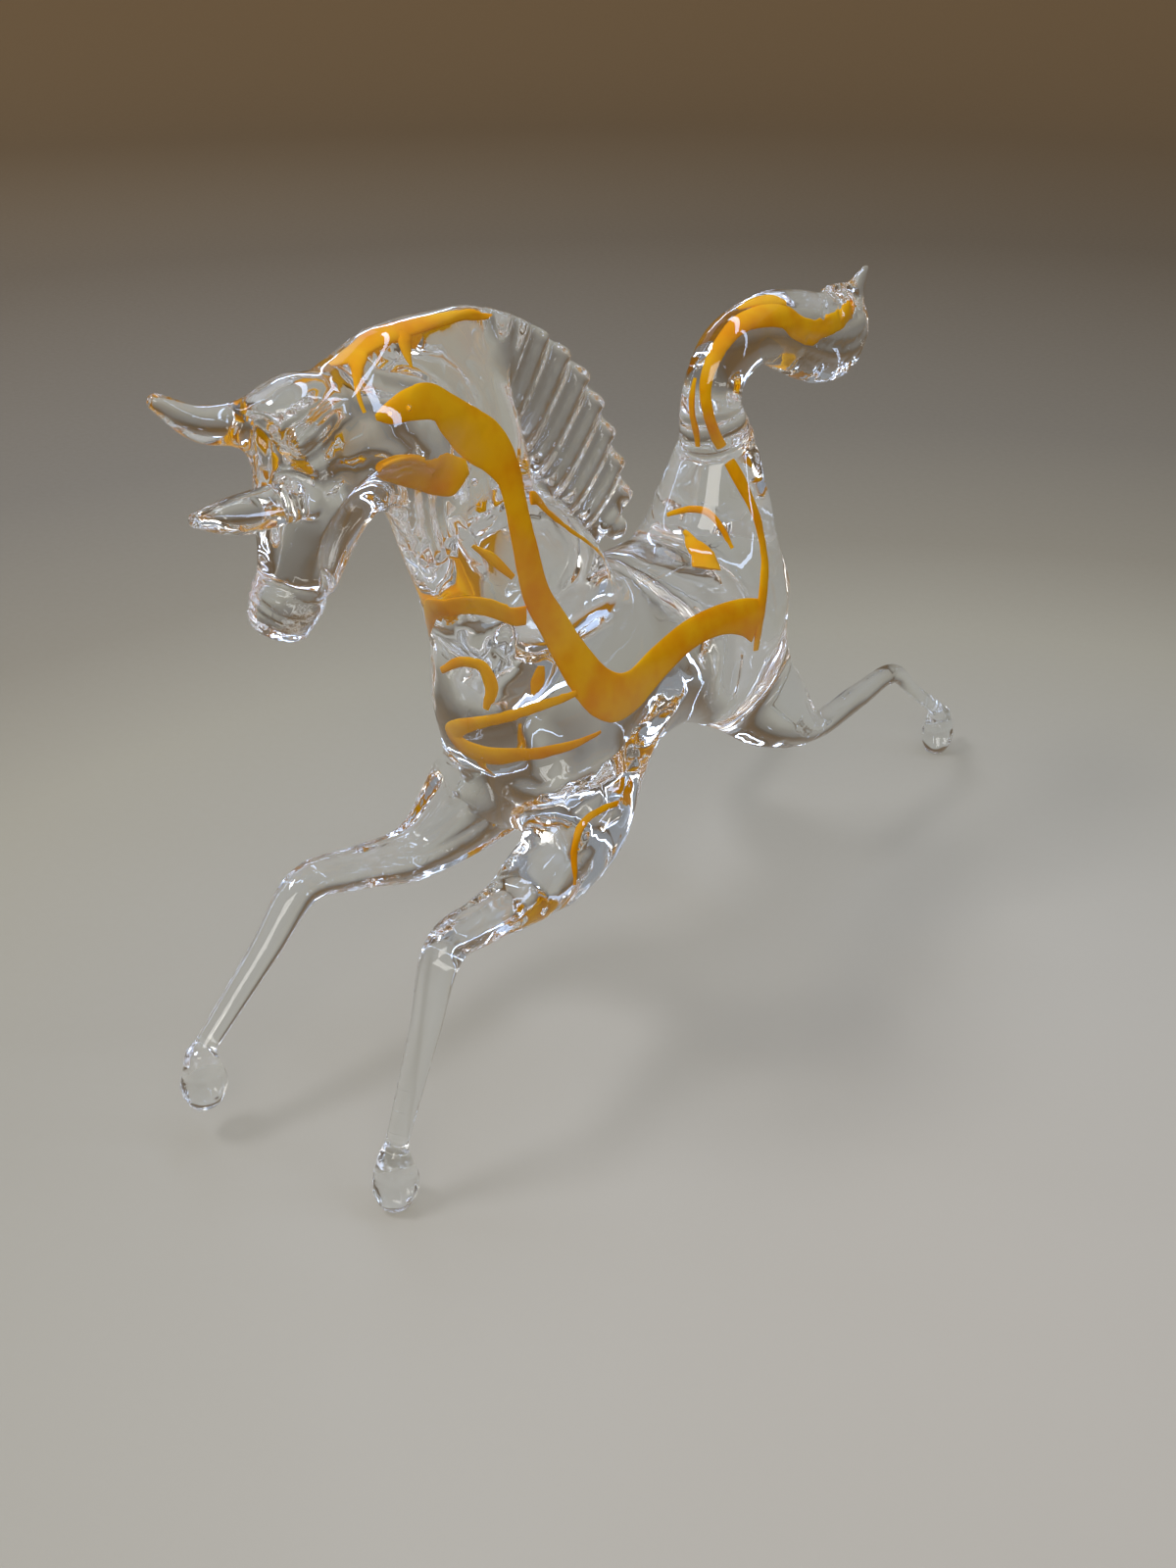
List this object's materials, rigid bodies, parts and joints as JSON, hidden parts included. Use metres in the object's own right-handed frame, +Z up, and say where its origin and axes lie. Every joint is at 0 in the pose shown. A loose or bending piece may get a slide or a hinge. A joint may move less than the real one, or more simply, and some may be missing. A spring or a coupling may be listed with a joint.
{
  "type": "glass horse figurine",
  "caption": "Galloping horse figurine in clear hot-worked glass, with amber ribbons laid into the skin, a pinched mane comb and a raised plume tail.",
  "frame": {"origin": "on the table under the middle of the object's box", "axes": "+Z up, the horse faces -Y, +X is the horse's left"},
  "size_m": [0.0518, 0.2016, 0.1295],
  "materials": {
    "clear_glass": "fire-polished clear glass",
    "amber_glass": "dense amber glass, fire-polished"
  },
  "bodies": {
    "root": {"trunk": "clear_glass", "neck": "clear_glass", "head": "clear_glass", "muzzle": "clear_glass", "ear_right": "clear_glass", "ear_left": "clear_glass", "mane": "clear_glass", "tail_root": "clear_glass", "tail_plume": "clear_glass", "foreleg_left": "clear_glass", "hoof_fore_left": "clear_glass", "foreleg_right": "clear_glass", "hoof_fore_right": "clear_glass", "hindleg_left": "clear_glass", "hoof_hind_left": "clear_glass", "hindleg_right": "clear_glass", "hoof_hind_right": "clear_glass", "ribbon_neck_left": "amber_glass", "ribbon_chest_upper": "amber_glass", "ribbon_throat": "amber_glass", "ribbon_crest": "amber_glass", "ribbon_flank_left": "amber_glass", "ribbon_chest_lower": "amber_glass", "ribbon_rump": "amber_glass", "ribbon_tail": "amber_glass"}
  },
  "joints": []
}
